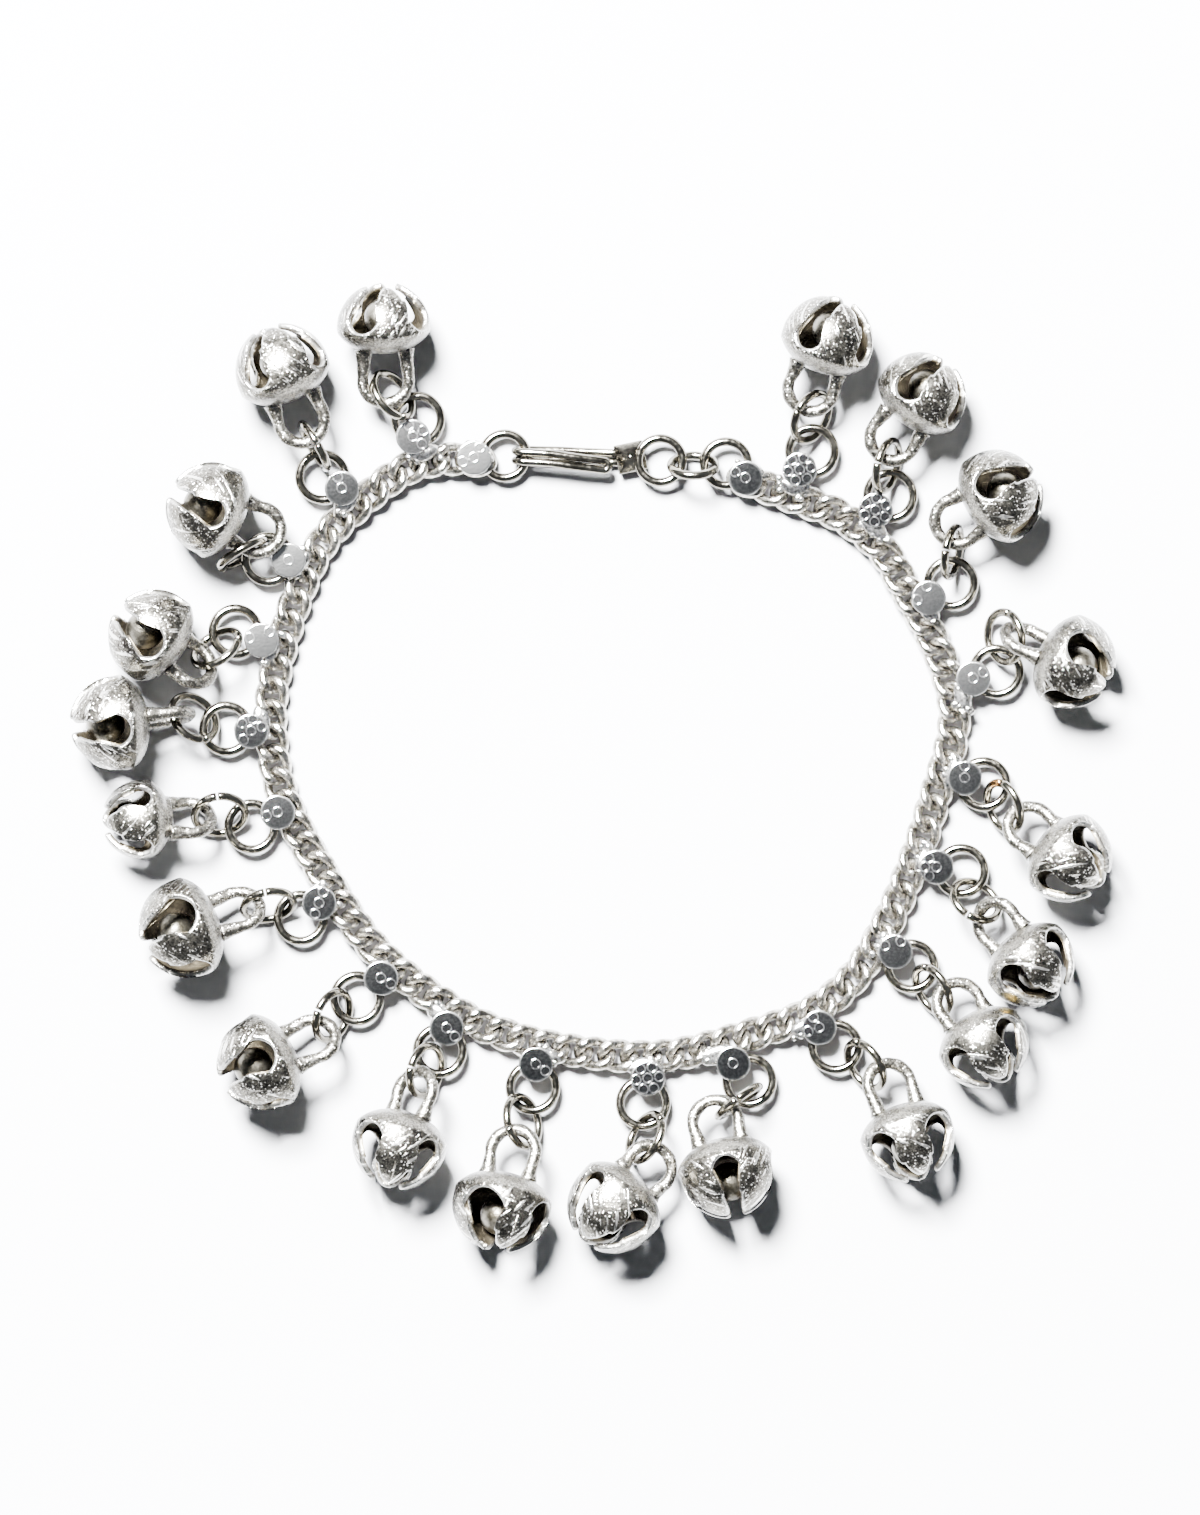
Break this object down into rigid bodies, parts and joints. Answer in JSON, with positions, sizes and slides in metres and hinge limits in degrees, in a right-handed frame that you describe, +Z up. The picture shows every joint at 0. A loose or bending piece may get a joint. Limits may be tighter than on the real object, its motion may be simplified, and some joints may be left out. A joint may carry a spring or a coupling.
{
  "type": "bell anklet",
  "caption": "Closed curb-chain anklet with slotted hanging bells on jump rings and a folded-wire hook clasp, lying flat.",
  "frame": {"origin": "centre of the anklet's outline on the ground that it lies on", "axes": "+Z up from the ground, +Y towards the clasp, +X to the clasp's loose end"},
  "size_m": [0.1336, 0.124, 0.0131],
  "materials": {
    "chain_silver": "bright cast silver, slightly worn",
    "ring_silver": "polished drawn silver wire",
    "disc_silver": "satin silver stamped with small circles",
    "bell_silver": "cast silver, grainy, filed and scratched",
    "pellet_metal": "smooth bright ball"
  },
  "bodies": {
    "root": {"chain": "chain_silver", "end_piece_hook_side": "chain_silver", "end_piece_clasp_side": "chain_silver", "middle_ring": "ring_silver", "hook": "ring_silver", "jump_rings": "ring_silver", "pellets": "pellet_metal", "hanger_01": "disc_silver", "hanger_02": "disc_silver", "hanger_03": "disc_silver", "hanger_04": "disc_silver", "hanger_05": "disc_silver", "hanger_06": "disc_silver", "hanger_07": "disc_silver", "hanger_08": "disc_silver", "hanger_09": "disc_silver", "hanger_10": "disc_silver", "hanger_11": "disc_silver", "hanger_12": "disc_silver", "hanger_13": "disc_silver", "hanger_14": "disc_silver", "hanger_15": "disc_silver", "hanger_16": "disc_silver", "hanger_17": "disc_silver", "hanger_18": "disc_silver", "hanger_19": "disc_silver", "hanger_20": "disc_silver", "bell_01": "bell_silver", "bell_02": "bell_silver", "bell_03": "bell_silver", "bell_04": "bell_silver", "bell_05": "bell_silver", "bell_06": "bell_silver", "bell_07": "bell_silver", "bell_08": "bell_silver", "bell_09": "bell_silver", "bell_10": "bell_silver", "bell_11": "bell_silver", "bell_12": "bell_silver", "bell_13": "bell_silver", "bell_14": "bell_silver", "bell_15": "bell_silver", "bell_16": "bell_silver", "bell_17": "bell_silver", "bell_18": "bell_silver", "bell_19": "bell_silver", "bell_20": "bell_silver"}
  },
  "joints": []
}
